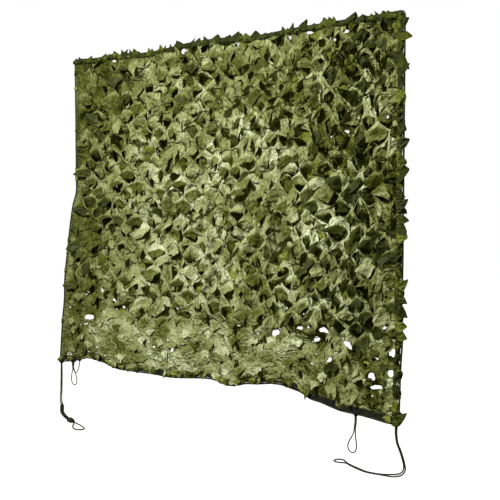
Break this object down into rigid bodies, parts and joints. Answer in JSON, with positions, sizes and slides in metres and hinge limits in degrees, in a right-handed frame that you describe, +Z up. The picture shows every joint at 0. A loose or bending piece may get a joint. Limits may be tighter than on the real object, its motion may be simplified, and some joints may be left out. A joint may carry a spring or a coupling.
{
  "type": "camouflage netting",
  "caption": "Hanging rectangular sheet of leaf-cut cloth with a border rope, a bound foot, corner ties and small hanging loops, for screening, shade or cover.",
  "frame": {"origin": "the middle of the border rope's top run, on the rope's axis", "axes": "+X along the top edge to the right seen from the front, -Y towards the front, +Z up"},
  "size_m": [2.0198, 0.452, 1.689],
  "materials": {
    "leaf_cloth": "leaf-cut coated polyester oxford cloth, olive and sage green, matt",
    "binding_tape": "dark olive woven polyester tape, matt",
    "border_rope": "dark olive braided polypropylene rope",
    "tie_cord": "blackish green braided cord",
    "loop_cord": "blackish green braided cord"
  },
  "bodies": {
    "root": {"netting_cloth": "leaf_cloth", "bottom_binding": "binding_tape", "border_rope": "border_rope", "corner_tie_left": "tie_cord", "corner_tie_right": "tie_cord", "hem_loop_left": "loop_cord", "hem_slack_left": "loop_cord", "hem_loop_right": "loop_cord"}
  },
  "joints": []
}
